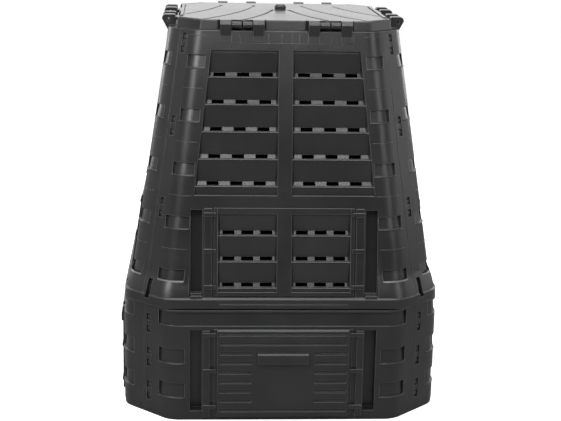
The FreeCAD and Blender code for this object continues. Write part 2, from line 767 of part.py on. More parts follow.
def upper_panel():
    backing, recess_tools = upper_recesses()
    before, cuts, after = upper_details()
    foot = S["ring_height"]
    foot_face = upper_face(Size(0.0, "0"))
    top_face = upper_face(S["upper_height"])
    run = (number(foot_face[0] + foot_face[1]) - number(top_face[0] + top_face[1])) * HALF_ROOT
    lean = math.degrees(math.atan2(run, number(S["upper_height"])))
    slots, hooks = clips("upper", S["clip_first"], S["clip_pitch"], CLIPS, 2, S["upper_height"])
    place_on_corner(slots, -1, foot_face, lean, foot)
    place_on_corner(hooks, 1, foot_face, lean, foot)
    step = box("skirt_step", (-S["rib_half"], -S["skirt_half"] - 5, foot + 16.5),
               (S["rib_half"], 2 - S["skirt_half"], foot + 19.5))
    whole = fuse("upper_whole", upper_shell() + [backing, before])
    opened = cut("upper_opened", whole, fuse("upper_tools", recess_tools + [cuts, slots, step]))
    return fuse("upper_panel", [opened, after, hooks, hinge_ears()])


def ring_panel():
    wall = S["wall"]
    top = S["ring_height"]
    low = S["channel_low"]
    high = S["channel_top"]
    depth = S["pocket_depth"]
    shelf = S["ring_shelf"]
    shell = ring_band("ring_wall", [(0, -2, wall), (15, 0, wall), (top, 0, wall)])
    foot = ring_band("ring_foot", [(0, -2, shelf), (wall, -2, shelf)])
    seat = ring_band("ring_seat", [(top - wall, 0, shelf), (top, 0, shelf)])
    slope = ring_band("ring_channel_floor", [(low, 3, S["channel_shallow"]), (high, 3, depth)])
    reach = S["ring_flat"] + S["channel_wrap"]
    behind = ring_band("ring_channel_thick",
                       [(low - wall * 2, 0, wall), (low - wall, 0, S["channel_shallow"] + wall),
                        (high, 0, depth + wall), (top, 0, depth + wall)])
    out = -S["ring_half"] - 9
    cover_reach = box("ring_channel_cover", (-reach - wall, out, 0), (reach + wall, 0, top))
    cover = common("ring_channel_back", behind, cover_reach)
    channel_reach = box("ring_channel_reach", (-reach, out, low - 1), (reach, 0, high + 1))
    channel = common("ring_channel", slope, channel_reach)
    backing, recess_tools = ring_recesses()

    inner = S["groove_inner"]
    outer = inner + S["groove_width"]
    back = box("ring_groove_back", (inner - wall, 1, S["ring_groove_low"] - wall),
               (outer + wall, S["ring_groove_depth"] + wall, S["ring_groove_top"] + wall))
    groove = box("ring_groove", (inner, -20, S["ring_groove_low"]),
                 (outer, S["ring_groove_depth"], S["ring_groove_top"]))
    lap = S["door_overlap"]
    opening = box("door_opening", (lap - S["door_half"], -20, S["door_low"] + lap),
                  (S["door_half"] - lap, 30, S["door_top"] - lap))
    before = stand_on_ring(both_sides("ring_groove_backs", back))
    cuts = stand_on_ring(fuse("ring_cuts", [opening, both_sides("ring_grooves", groove)]))
    guides = stand_on_ring(guide_rail(
        "door", S["door_half"], S["door_side_gap"], S["door_bar_width"], S["door_bar_proud"],
        S["door_low"], S["door_top"] - 4, S["door_claw_low"], S["door_claw_pitch"]))
    slots, hooks = clips("ring", S["ring_clip_first"], S["ring_clip_pitch"], RING_CLIPS,
                         wall + 1, top - wall - 1)
    place_on_corner(slots, -1, RING_FACE, 0, 0)
    place_on_corner(hooks, 1, RING_FACE, 0, 0)
    whole = fuse("ring_whole", [shell, foot, seat, cover, backing, before])
    opened = cut("ring_opened", whole, fuse("ring_tools", recess_tools + [channel, cuts, slots]))
    return fuse("ring_panel", [opened, guides, hooks])


def hatch():
    """The louvred hatch, in the frame of the sloping face."""
    face = -S["hatch_proud"]
    gap = -S["slide_gap"]
    low = S["hatch_low"]
    top = S["hatch_top"]
    plate_half = S["hatch_half"] - S["flange"]
    plate = box("hatch_plate", (-plate_half, face, low), (plate_half, gap, top))
    edge = box("hatch_edge", (-S["hatch_half"], gap - S["flange_thick"], low), (S["hatch_half"], gap, top))
    window = (S["hatch_window_inner"], S["hatch_window_edge"], S["hatch_window_edge"],
              S["hatch_window_low"], S["hatch_window_top"])
    frame = plate_of_face("hatch_frame", window_outline(*window, S["louvre_wall"]), gap - 1,
                          face + S["frame_depth"])
    hole = plate_of_face("hatch_hole", window_outline(*window, 0), -20, S["frame_depth"] + 20)
    slats = louvres("hatch", face, window, S["hatch_ledge"], S["hatch_pitch"], HATCH_ROWS,
                    S["hatch_slot_pitch"])
    whole = fuse("hatch_whole", [plate, edge, both_sides("hatch_frames", frame)])
    opened = cut("hatch_opened", whole, both_sides("hatch_holes", hole))
    return lean_on_face(fuse("hatch", [opened, slats]))


def door():
    """The sliding door, in the frame of the ring's face."""
    face = -S["door_proud"]
    gap = -S["slide_gap"]
    low = S["door_low"]
    top = S["door_top"]
    plate_half = S["door_half"] - S["flange"]
    plate = box("door_plate", (-plate_half, face, low), (plate_half, gap, top))
    edge = box("door_edge", (-S["door_half"], gap - S["flange_thick"], low), (S["door_half"], gap, top))
    hollow = box("door_hollow", (-plate_half + 6, face + S["door_plate"], low + 6),
                 (plate_half - 6, 5, top - 6))
    slope = bar_of_section("door_top_slope", [(face - 1, top - 6), (face, top - 5), (face + 5, top),
                                              (face + 5, top + 1), (face - 1, top + 1)],
                           -S["door_half"], S["door_half"] * 2)
    grooves = []
    for index in range(DOOR_GROOVES):
        foot = S["rib_low"] + S["rib_pitch"] * index
        depth = face + S["rib_depth"]
        section = [(face - 2, foot), (face, foot), (depth, foot + S["rib_lip"]),
                   (depth, foot + S["rib_groove"]), (face - 2, foot + S["rib_groove"])]
        name = "door_groove_%d" % index
        if index in WHOLE_GROOVES:
            grooves.append(bar_of_section(name, section, -S["rib_half"], S["rib_half"] * 2))
        else:
            right = bar_of_section(name, section, S["plain_half"], S["rib_half"] - S["plain_half"])
            grooves.append(both_sides(name + "_pair", right))
    out = face - S["grip_proud"]
    foot = S["grip_low"]
    head = foot + S["grip_height"]
    lip = bar_of_section("grip_lip", [(face + 1, head), (out + 4, head), (out, head - 4), (out, foot),
                                      (out + 4, foot), (out + 4, head - 6), (face + 1, head - 6)],
                         -S["grip_half"], S["grip_half"] * 2)
    cheek = bar_of_section("grip_cheek", [(face + 1, head), (out + 4, head), (out, head - 4), (out, foot),
                                          (face + 1, foot)], S["grip_half"] - 4, 4)
    opened = cut("door_opened", fuse("door_whole", [plate, edge]),
                 fuse("door_tools", [hollow, slope] + grooves))
    return stand_on_ring(fuse("door", [opened, lip, both_sides("grip_cheeks", cheek)]))


def octagon(half, flat, radius):
    """Points and arcs of an eight-sided outline with rounded corners."""
    turn = radius * TAN_EIGHTH
    edge = turn * HALF_ROOT
    side = [(-flat - edge, edge - half), (turn - flat, -half),
            (flat - turn, -half), (flat + edge, edge - half)]
    centres = [(turn - flat, radius - half), (flat - turn, radius - half)]
    points = []
    arcs = {}
    for quarter in range(4):
        arcs[quarter * 4] = (radius, centres[0])
        arcs[quarter * 4 + 2] = (radius, centres[1])
        points.extend(side)
        side = [(-y, x) for x, y in side]
        centres = [(-y, x) for x, y in centres]
    return points, arcs


LID_LOW = S["ring_height"] + S["upper_height"] + S["lid_seat"]
LID_EDGE = LID_LOW + S["lid_rise"]


def lid_outline(inset):
    """The lid's outline, drawn in by inset."""
    return octagon(S["lid_half"] - inset, S["lid_flat"] - inset * TAN_EIGHTH, S["lid_corner"] - inset)


def lid_crown(name, drop):
    """The shallow pyramid on top of the lid, lowered by drop."""
    wide = lid_outline(S["lid_draft"] + S["lid_round"])
    small = S["knob_radius"] + 6
    apex = octagon(small, small * TAN_EIGHTH, 4)
    return tower(name, [(LID_EDGE - 8 - drop, *wide), (LID_EDGE - drop, *wide),
                        (LID_EDGE + S["lid_peak"] - drop, *apex)])


def slanted(name, start, turn, length, width):
    """A tall thin block that runs from start, turned from the Y axis."""
    block = doc.addObject("Part::Box", name)
    block.Placement = FreeCAD.Placement(
        FreeCAD.Vector(), FreeCAD.Rotation(FreeCAD.Vector(0, 0, 1), turn))
    bind(block, "Length", width)
    bind(block, "Width", length)
    bind(block, "Height", 60)
    move(block, start[0], start[1], LID_LOW)
    return block


def curved(name, x, y, far):
    """A tall thin band that starts at (x, y) on the lid and curves back to where Y is far."""
    slant = math.radians(number(S["line_slant"]))
    half_chord = (far - y) / math.cos(slant) / 2
    reach = math.sqrt(number(S["line_radius"]) ** 2 - half_chord ** 2)
    middle_x = x - (far - y) / 2 * math.tan(slant) + reach * math.cos(slant)
    middle_y = (y + far) / 2 + reach * math.sin(slant)
    rings = []
    for edge, side in (("outside", 0.5), ("inside", -0.5)):
        ring = doc.addObject("Part::Cylinder", "%s_%s" % (name, edge))
        bind(ring, "Radius", S["line_radius"] + S["line_width"] * side)
        bind(ring, "Height", 60)
        move(ring, middle_x, middle_y, LID_LOW)
        rings.append(ring)
    span = (far - y) * math.tan(slant)
    limit = box(name + "_limit", (x - span - 20, y, LID_LOW - 1), (x + 20, far, LID_LOW + 61))
    return common(name, cut(name + "_ring", *rings), limit)


def lid_lines():
    """Grooves on the lid: a curved fan, one beside each side strip and one along each corner."""
    width = S["line_width"]
    lines = []
    for index, (x, y, far) in enumerate(LID_LINES):
        lines.append(curved("lid_line_%d" % index, x, y, far))
    strip = S["lid_half"] - S["border"] - S["strip_groove"]
    lines.append(slanted("lid_strip_groove", (strip, -S["strip_half"]), 0,
                         S["strip_half"] * 2, S["strip_groove"]))
    run = (S["lid_half"] - S["lid_flat"]) * math.sqrt(2)
    inward = S["corner_line"] * HALF_ROOT
    lines.append(slanted("lid_corner_front", (S["lid_flat"] - inward, inward - S["lid_half"]),
                         -45, run, width))
    lines.append(slanted("lid_corner_back", (S["lid_half"] - inward, S["lid_flat"] - inward),
                         45, run, width))
    return both_sides("lid_lines", fuse("lid_lines_right", lines))


def lid_strips():
    """Raised strips along the left and right sides of the lid."""
    edge = S["lid_half"] - S["lid_draft"] - S["lid_round"]
    strip = box("lid_strip", (S["lid_half"] - S["border"], -S["strip_half"], LID_EDGE - 5),
                (edge, S["strip_half"], LID_EDGE + S["strip_proud"]))
    return both_sides("lid_strips", strip)


def lid_edge():
    """The lid's slightly leaning rim with its bevelled edge."""
    draft = S["lid_draft"]
    bevel = S["lid_round"]
    return tower("lid_rim", [(LID_LOW, *lid_outline(0)), (LID_EDGE - bevel, *lid_outline(draft)),
                             (LID_EDGE, *lid_outline(draft + bevel))])


def turned(name, source, angle):
    """A turned reference to a shape, as a compound of it."""
    copy = doc.addObject("Part::Compound", name)
    copy.Links = [source]
    copy.Placement = FreeCAD.Placement(FreeCAD.Vector(), FreeCAD.Rotation(FreeCAD.Vector(0, 0, 1), angle))
    return copy


def lid():
    thick = S["lid_wall"]
    half = S["lid_half"]
    crown = lid_crown("lid_crown", 0)
    below = lid_crown("lid_crown_below", S["line_depth"])
    skin = cut("lid_skin", crown, below)
    lines = common("lid_grooves", skin, lid_lines())
    inside = octagon(half - thick, S["lid_flat"] - thick * TAN_EIGHTH, 3)
    cavity = tower("lid_cavity", [(LID_LOW - 1, *inside), (LID_EDGE - S["wall"], *inside)])
    bay = both_sides("lid_bay", box("lid_bay_right", (S["bay_near"], -half - 5, LID_LOW - 1),
                                    (S["bay_far"], S["bay_depth"] - half, LID_EDGE + 5)))
    hole = doc.addObject("Part::Cylinder", "knob_hole")
    bind(hole, "Radius", S["shank_radius"] + S["shank_clearance"])
    bind(hole, "Height", 80)
    move(hole, 0, 0, LID_LOW)
    bays = fuse("lid_bays", [turned("lid_bay_%s" % side, bay, 90 * turn) for turn, side in enumerate(SIDES)])
    whole = cut("lid_opened", fuse("lid_whole", [lid_edge(), crown, lid_strips()]),
                fuse("lid_tools", [cavity, lines, bays, hole]))

    out = -S["pin_out"]
    knuckles = []
    wide = (S["ear_gap"] - S["knuckle_side"] * 2 - S["knuckle_gap"]) / 2
    for index in range(2):
        near = S["ear_near"] + S["ear_width"] + S["knuckle_side"] + (wide + S["knuckle_gap"]) * index
        knuckles.append(rod("knuckle_%d" % index, (near, out, PIN_HEIGHT), wide, S["knuckle_radius"]))
        knuckles.append(box("knuckle_arm_%d" % index, (near, out, PIN_HEIGHT - 4.5),
                            (near + wide, S["bay_depth"] + 2 - half, PIN_HEIGHT + 4.5)))
    bore = rod("knuckle_bore", (S["ear_near"], out, PIN_HEIGHT), ear_span(),
               S["pin_radius"] + S["pin_clearance"])
    pair = both_sides("knuckles", cut("knuckle_pair", fuse("knuckle_right", knuckles), bore))
    sets = [turned("knuckles_%s" % side, pair, 90 * turn) for turn, side in enumerate(SIDES)]
    return fuse("lid_shape", [whole] + sets)


def knob():
    """The vent knob with its shank and foot, turned about the bin's axis."""
    apex = LID_EDGE + S["lid_peak"]
    under = LID_EDGE - S["wall"]
    shank = S["shank_radius"]
    radius = S["knob_radius"]
    foot = S["clip_ring_radius"]
    gap = 0.3
    low = under - gap - S["clip_ring_thick"]
    brow = apex + S["knob_height"] - 2
    profile = [(0, low), (foot, low), (foot, under - gap), (shank, under - gap), (shank, apex + gap),
               (radius, apex + gap), (radius, brow - 3), (radius - 3, brow), (0, brow)]
    body = doc.addObject("PartDesign::Body", "knob_turned")
    sketch = body_sketch(body, "knob_profile", 0, "XZ_Plane")
    draw(sketch, profile, {})
    spin = body.newObject("PartDesign::Revolution", "knob_spin")
    spin.Profile = sketch
    spin.ReferenceAxis = (sketch, ["V_Axis"])
    spin.Angle = 360
    grip = box("knob_grip", (-radius + 4, -3, apex + S["knob_height"] - 4),
               (radius - 4, 3, apex + S["knob_height"]))
    return fuse("knob", [body, grip])


def pin(name, side):
    """A hinge pin of the back hinges; side is 1 for the right pair of ears."""
    start = S["ear_near"] if side > 0 else -S["ear_near"] - ear_span()
    return rod(name, (start + 1, S["pin_out"], PIN_HEIGHT), ear_span() - 2, S["pin_radius"])


def finished(label, shape, turn):
    """The exported piece: a shape turned about the bin's axis."""
    piece = doc.addObject("Part::Feature", label)
    piece.Shape = shape
    about = FreeCAD.Placement(FreeCAD.Vector(), FreeCAD.Rotation(FreeCAD.Vector(0, 0, 1), 90 * turn))
    piece.Placement = about.multiply(shape.Placement)
    piece.Label = label
    return piece


def plain_solid(source):
    """The single solid of a shape in the bin's frame, with its placement worked in."""
    solids = source.Shape.Solids
    if len(solids) != 1:
        raise RuntimeError("%s has %d solids, volumes %s" % (
            source.Name, len(solids), [round(solid.Volume) for solid in solids]))
    return solids[0].copy()


def main():
    per_side = {"upper_panel": upper_panel(), "ring_panel": ring_panel(), "hatch": hatch(), "door": door()}
    single = {"lid": lid(), "vent_knob": knob(), "hinge_pin_left": pin("pin_left", -1),
              "hinge_pin_right": pin("pin_right", 1)}
    doc.recompute()
    for thing in doc.Objects:
        if "Invalid" in thing.State or "Error" in thing.State:
            raise RuntimeError("%s did not recompute: %s" % (thing.Name, thing.State))
        shape = getattr(thing, "Shape", None)
        if shape is not None and shape.isNull() and thing.TypeId.startswith("Part"):
            raise RuntimeError("%s is empty" % thing.Name)
    pieces = []
    for name, source in per_side.items():
        for turn, side in enumerate(SIDES):
            pieces.append(finished("%s_%s" % (name, side), plain_solid(source), turn))
    for name, source in single.items():
        pieces.append(finished(name, plain_solid(source), 0))
    doc.recompute()
    os.makedirs("parts", exist_ok=True)
    for piece in pieces:
        if piece.Shape.isNull() or not piece.Shape.isValid():
            raise RuntimeError("%s is not a valid shape" % piece.Label)
        piece.Shape.exportStep("parts/%s.step" % piece.Label)
        print(piece.Label, round(piece.Shape.Volume / 1000), "cm3")


main()
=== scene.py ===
import math

import bmesh
import bpy
from mathutils import Matrix, Vector


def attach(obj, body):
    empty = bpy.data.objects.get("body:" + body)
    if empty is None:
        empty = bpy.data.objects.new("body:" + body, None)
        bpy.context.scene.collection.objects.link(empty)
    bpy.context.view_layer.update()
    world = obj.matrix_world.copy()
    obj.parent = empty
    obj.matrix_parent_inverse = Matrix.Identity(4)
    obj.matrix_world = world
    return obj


# A black plastic compost bin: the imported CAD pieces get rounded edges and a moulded
# plastic finish, and fine details are added to them. Metres, +Z up, front at -Y.

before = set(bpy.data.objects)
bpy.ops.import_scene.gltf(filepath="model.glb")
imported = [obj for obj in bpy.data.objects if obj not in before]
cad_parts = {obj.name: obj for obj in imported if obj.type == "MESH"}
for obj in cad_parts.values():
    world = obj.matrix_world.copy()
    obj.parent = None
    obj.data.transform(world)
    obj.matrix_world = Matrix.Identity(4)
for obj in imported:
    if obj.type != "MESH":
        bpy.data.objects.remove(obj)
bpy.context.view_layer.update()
scene = bpy.context.scene

# Camera, fitted to the photograph, and how far it sees.
CAMERA_PLACE = (-0.22413, -4.03554, 1.44599)
CAMERA_YAW = 0.0584
CAMERA_PITCH = 0.2293
CAMERA_ROLL = 0.0183
CAMERA_LENS = 86.82
SENSOR = 36.0
CAMERA_SIGHT = 50.0

# Black polypropylene: its colours, its roughness and how far that varies, the clouds of
# dust on it, and its ripples and grain. Each grain is (scale, strength).
PLASTIC = (0.011, 0.011, 0.0115, 1.0)
PLASTIC_DUSTY = (0.019, 0.019, 0.0195, 1.0)
# Painted highlight: the light colour laid on outer edges in place of the light they catch.
EDGE_HIGHLIGHT_PAINT = (0.12, 0.12, 0.122, 1.0)
ROUGHNESS = 0.31
LID_GLOSSIER = 0.04
DOOR_DULLER = 0.02
GLOSS_SPREAD = (-0.05, 0.07)
CLOUD_SCALE = 7.0
CLOUD_DETAIL = 5.0
CLOUD_ROUGHNESS = 0.6
CLOUD_RANGE = (0.35, 0.75)
BODY_GRAIN = (900, 0.35)
LID_GRAIN = (900, 0.3)
DOOR_GRAIN = (700, 0.35)
GRAIN_DETAIL = 2.0
GRAIN_DEPTH = 0.0004
RIPPLE_SCALE = 9.0
RIPPLE_DETAIL = 1.0
RIPPLE_STRENGTH = 0.25
RIPPLE_DEPTH = 0.004

# Edges: the bevel's width, the reach of the soft edge in the shading, and the painted highlight,
# a lighter strip along outer edges, with the range of openness over which it fades.
EDGE_WIDTH = 0.0014
EDGE_STEPS = 2
EDGE_GLINT = 0.0030
EDGE_GLINT_SAMPLES = 4
EDGE_HIGHLIGHT_REACH = 0.0014
EDGE_HIGHLIGHT_SAMPLES = 6
EDGE_HIGHLIGHT_RANGE = (0.55, 0.95)
SHARP_ANGLE = math.radians(28)
FLAT_ANGLE = math.radians(0.5)
WELD_REACH = 0.00001
BEVEL_SLOT = 1

# The CAD normals are kept under this name. Where the normals around a point add up to
# less than NO_NORMAL, only bevel faces meet there.
NORMAL_NAME = "cad_normal"
NO_NORMAL = 0.05

# Sizes of the moulded corners, as in the solids. At each corner of the bin the wall turns
# by CORNER_TURN twice, around a rounded upright edge.
SIDES = 4
CORNER_TURN = math.radians(45)
UPPER_HEIGHT = 0.760
RING_HEIGHT = 0.322
FOOT_HALF = 0.437
TOP_HALF = 0.324
FOOT_FLAT = 0.329
TOP_FLAT = 0.241
RING_HALF = 0.450
RING_FLAT = 0.317
CORNER_RADIUS = 0.070
POCKETS = 5
POCKET_FIRST = 0.092
POCKET_PITCH = 0.1463
POCKET_HEIGHT = 0.034
POCKET_WIDE = 0.078
POCKET_NARROW = 0.052
RING_POCKETS = 2
RING_POCKET_FIRST = 0.067
RING_POCKET_PITCH = 0.100

# Fine mouldings: lips, lines between them, and the grid above the windows. A ridge's
# profile is (across, outward) in shares of its width and of how far it stands proud.
ARC_STEPS = 10
RIDGE_PROFILE = ((-0.5, -0.4), (-0.35, 0.6), (-0.1, 1.0), (0.1, 1.0), (0.35, 0.6), (0.5, -0.4))
LIP_OVERLAP = 0.006
LIP_HEIGHT = 0.0045
LIP_PROUD = 0.0018
LINE_HEIGHT = 0.0022
LINE_PROUD = 0.0008
LINE_MARGIN = 0.014
GRID_LINES = (-0.150, -0.126, -0.048, -0.012, 0.016, 0.037, 0.060, 0.092, 0.125, 0.155, 0.186)
GRID_LOW = 0.712
GRID_TOP = 0.752
GRID_LEVEL = 0.727
GRID_WIDTH = 0.0020
GRID_PROUD = 0.0006

# Studio: the world's strength for glossy rays in front of and behind the bin, and for
# the rest, and the directions' Y over which it fades; the floor; and each softbox with its
# place, target, size and power.
WHITE = (1.0, 1.0, 1.0, 1.0)
STUDIO_FADE = (-0.6, 0.7)
STUDIO_FRONT = 0.13
STUDIO_BACK = 0.8
STUDIO_SOFT = 0.32
FLOOR_REACH = 12.0
FLOOR_DROP = 0.0005
FLOOR_COLOR = (0.86, 0.86, 0.86, 1.0)
FLOOR_BOUNCE = (0.34, 0.34, 0.34, 1.0)
FLOOR_GLOW = 0.72
LIGHTS = (
    ("key", (-3.0, -3.0, 2.6), (0, 0, 0.9), (0.5, 1.2), 80),
    ("fill", (3.2, -2.8, 2.0), (0, 0, 0.9), (0.7, 2.0), 26),
    ("front", (0.0, -3.2, 2.5), (0, 0, 0.9), (2.4, 1.1), 13),
    ("brow", (-0.1, -1.6, 1.85), (0, -0.3, 1.0), (1.5, 0.3), 15),
    ("top", (0.0, -0.5, 3.6), (0, -0.1, 0.6), (3.0, 2.2), 85),
    ("behind", (0.0, 4.6, 2.4), (0, 0, 1.1), (5.0, 2.2), 30),
    ("back_left", (-3.2, 3.0, 1.6), (0, 0, 0.7), (0.9, 2.0), 24),
    ("back_right", (3.2, 3.0, 1.6), (0, 0, 0.7), (0.9, 2.0), 24),
    ("side_left", (-3.6, 0.3, 1.2), (0, 0, 0.8), (1.4, 1.6), 2),
    ("side_right", (3.6, 0.3, 1.2), (0, 0, 0.8), (1.4, 1.6), 7),
)


def make_camera():
    """The photograph's camera."""
    sin_yaw, cos_yaw = math.sin(CAMERA_YAW), math.cos(CAMERA_YAW)
    sin_pitch, cos_pitch = math.sin(CAMERA_PITCH), math.cos(CAMERA_PITCH)
    sin_roll, cos_roll = math.sin(CAMERA_ROLL), math.cos(CAMERA_ROLL)
    forward = Vector((cos_pitch * sin_yaw, cos_pitch * cos_yaw, -sin_pitch))
    level = Vector((cos_yaw, -sin_yaw, 0))
    upright = Vector((sin_pitch * sin_yaw, sin_pitch * cos_yaw, cos_pitch))
    right = level * cos_roll + upright * sin_roll
    up = upright * cos_roll - level * sin_roll
    data = bpy.data.cameras.new("camera")
    data.lens = CAMERA_LENS
    data.sensor_width = SENSOR
    data.sensor_fit = "HORIZONTAL"
    data.clip_end = CAMERA_SIGHT
    camera = bpy.data.objects.new("camera", data)
    turn = Matrix((right, up, -forward)).transposed().to_4x4()
    camera.matrix_world = Matrix.Translation(CAMERA_PLACE) @ turn
    scene.collection.objects.link(camera)
    scene.camera = camera


def new_material(name):
    """An empty material: (material, add a node, link two sockets)."""
    material = bpy.data.materials.new(name)
    material.use_nodes = True
    tree = material.node_tree
    tree.nodes.clear()
    return material, tree.nodes.new, tree.links.new


def set_inputs(node, **values):
    """Writes constants to a node's sockets: From_Min stands for the socket From Min."""
    for name, value in values.items():
        node.inputs[name.replace("_", " ")].default_value = value


def color_mix(add, link, factor):
    """A mix of two colours by a factor's socket."""
    mix = add("ShaderNodeMix")
    mix.data_type = "RGBA"
    link(factor, mix.inputs["Factor"])
    return mix


def noise(add, link, place, scale, detail):
    """Noise in the object's own space."""
    node = add("ShaderNodeTexNoise")
    set_inputs(node, Scale=scale, Detail=detail)
    link(place.outputs["Object"], node.inputs["Vector"])
    return node


def bump(add, link, height, normal, strength, depth):
    """Bumps by a height's socket on top of a normal's socket."""
    node = add("ShaderNodeBump")
    set_inputs(node, Strength=strength, Distance=depth)
    link(height, node.inputs["Height"])
    link(normal, node.inputs["Normal"])
    return node


def plastic_material(name, roughness, grain):
    """Moulded black plastic: grain, slight ripples, a little dust and a painted highlight along
    outer edges.
    """
    material, add, link = new_material(name)
    grain_scale, grain_strength = grain
    place = add("ShaderNodeTexCoord")
    output = add("ShaderNodeOutputMaterial")
    shader = add("ShaderNodeBsdfPrincipled")
    link(shader.outputs["BSDF"], output.inputs["Surface"])

    cloudy = noise(add, link, place, CLOUD_SCALE, CLOUD_DETAIL)
    set_inputs(cloudy, Roughness=CLOUD_ROUGHNESS)
    dust = add("ShaderNodeMapRange")
    set_inputs(dust, From_Min=CLOUD_RANGE[0], From_Max=CLOUD_RANGE[1])
    link(cloudy.outputs["Fac"], dust.inputs["Value"])
    tint = color_mix(add, link, dust.outputs["Result"])
    set_inputs(tint, A=PLASTIC, B=PLASTIC_DUSTY)

    # Painted highlight: outer edges, found by rays shot into the solid, are painted lighter to
    # stand in for their glints of light.
    outer_edge_probe = add("ShaderNodeAmbientOcclusion")
    outer_edge_probe.inside = True
    outer_edge_probe.only_local = True
    outer_edge_probe.samples = EDGE_HIGHLIGHT_SAMPLES
    set_inputs(outer_edge_probe, Distance=EDGE_HIGHLIGHT_REACH)
    edge = add("ShaderNodeMapRange")
    set_inputs(edge, From_Min=EDGE_HIGHLIGHT_RANGE[0], From_Max=EDGE_HIGHLIGHT_RANGE[1], To_Min=1.0, To_Max=0.0)
    link(outer_edge_probe.outputs["AO"], edge.inputs["Value"])
    painted_highlight = color_mix(add, link, edge.outputs["Result"])
    set_inputs(painted_highlight, B=EDGE_HIGHLIGHT_PAINT)
    link(tint.outputs["Result"], painted_highlight.inputs["A"])
    link(painted_highlight.outputs["Result"], shader.inputs["Base Color"])

    gloss = add("ShaderNodeMapRange")
    set_inputs(gloss, To_Min=roughness + GLOSS_SPREAD[0], To_Max=roughness + GLOSS_SPREAD[1])
    link(cloudy.outputs["Fac"], gloss.inputs["Value"])
    link(gloss.outputs["Result"], shader.inputs["Roughness"])

    soft_edge = add("ShaderNodeBevel")
    soft_edge.samples = EDGE_GLINT_SAMPLES
    set_inputs(soft_edge, Radius=EDGE_GLINT)
    ripple = noise(add, link, place, RIPPLE_SCALE, RIPPLE_DETAIL)
    speck = noise(add, link, place, grain_scale, GRAIN_DETAIL)
    coarse = bump(add, link, ripple.outputs["Fac"], soft_edge.outputs["Normal"],
                  RIPPLE_STRENGTH, RIPPLE_DEPTH)
    fine = bump(add, link, speck.outputs["Fac"], coarse.outputs["Normal"],
                grain_strength, GRAIN_DEPTH)
    link(fine.outputs["Normal"], shader.inputs["Normal"])
    return material


def mesh_group(name):
    """An empty geometry node group: (group, add a node, link, its mesh in, its mesh out)."""
    group = bpy.data.node_groups.new(name, "GeometryNodeTree")
    for way in ("INPUT", "OUTPUT"):
        group.interface.new_socket("Mesh", in_out=way, socket_type="NodeSocketGeometry")
    start = group.nodes.new("NodeGroupInput").outputs[0]
    end = group.nodes.new("NodeGroupOutput").inputs[0]
    return group, group.nodes.new, group.links.new, start, end


def keep_normals():
    """Stores each corner's CAD normal, which the bevel would lose."""
    group, add, link, start, end = mesh_group("keep_normals")
    store = add("GeometryNodeStoreNamedAttribute")
    store.data_type = "FLOAT_VECTOR"
    store.domain = "CORNER"
    store.inputs["Name"].default_value = NORMAL_NAME
    link(start, store.inputs["Geometry"])
    link(add("GeometryNodeInputNormal").outputs["Normal"], store.inputs["Value"])
    link(store.outputs[0], end)
    return group


def use_normals():
    """Puts the CAD normals back; a bevel's faces turn smoothly from one side to the other."""
    group, add, link, start, end = mesh_group("use_normals")

    def vector_math(operation, vector):
        node = add("ShaderNodeVectorMath")
        node.operation = operation
        link(vector, node.inputs[0])
        return node

    def at_points(vector):
        node = add("GeometryNodeFieldOnDomain")
        node.data_type = "FLOAT_VECTOR"
        node.domain = "POINT"
        link(vector, node.inputs[0])
        return node.outputs[0]

    def choose(switch, if_false, if_true):
        node = add("GeometryNodeSwitch")
        node.input_type = "VECTOR"
        link(switch, node.inputs["Switch"])
        link(if_false, node.inputs["False"])
        link(if_true, node.inputs["True"])
        return node.outputs[0]

    # The bevel gives its own faces BEVEL_SLOT, which is 1: all others have 0.
    on_bevel = add("GeometryNodeInputMaterialIndex").outputs[0]
    off_bevel = add("ShaderNodeMath")
    off_bevel.operation = "SUBTRACT"
    off_bevel.inputs[0].default_value = 1.0
    link(on_bevel, off_bevel.inputs[1])
    kept = add("GeometryNodeInputNamedAttribute")
    kept.data_type = "FLOAT_VECTOR"
    kept.inputs["Name"].default_value = NORMAL_NAME
    cad_normal = kept.outputs["Attribute"]

    # On a bevel's border the CAD faces beside it give the normal, inside it its own faces.
    beside = vector_math("SCALE", cad_normal)
    link(off_bevel.outputs[0], beside.inputs["Scale"])
    border = at_points(beside.outputs[0])
    inside = add("FunctionNodeCompare")
    inside.operation = "LESS_THAN"
    link(vector_math("LENGTH", border).outputs["Value"], inside.inputs["A"])
    inside.inputs["B"].default_value = NO_NORMAL
    own = at_points(add("GeometryNodeInputNormal").outputs["True Normal"])
    turned = choose(inside.outputs[0], vector_math("NORMALIZE", border).outputs[0], own)
    chosen = choose(on_bevel, cad_normal, turned)

    shade = add("GeometryNodeSetShadeSmooth")
    link(start, shade.inputs[0])
    turn = add("GeometryNodeSetMeshNormal")
    turn.mode = "FREE"
    turn.domain = "CORNER"
    link(shade.outputs[0], turn.inputs["Mesh"])
    link(chosen, turn.inputs["Custom Normal"])
    back = add("GeometryNodeSetMaterialIndex")
    back.inputs["Material Index"].default_value = 0
    link(turn.outputs[0], back.inputs["Geometry"])
    link(back.outputs[0], end)
    return group


def round_edges(thing, groups):
    """Welds the CAD mesh, joins its flat triangles and rounds its sharp edges."""
    before, after = groups
    keep = thing.modifiers.new("keep", "NODES")
    keep.node_group = before
    weld = thing.modifiers.new("weld", "WELD")
    weld.merge_threshold = WELD_REACH
    flat = thing.modifiers.new("flat", "DECIMATE")
    flat.decimate_type = "DISSOLVE"
    flat.angle_limit = FLAT_ANGLE
    bevel = thing.modifiers.new("bevel", "BEVEL")
    bevel.width = EDGE_WIDTH
    bevel.segments = EDGE_STEPS
    bevel.limit_method = "ANGLE"
    bevel.angle_limit = SHARP_ANGLE
    bevel.use_clamp_overlap = True
    bevel.material = BEVEL_SLOT
    normals = thing.modifiers.new("normals", "NODES")
    normals.node_group = after


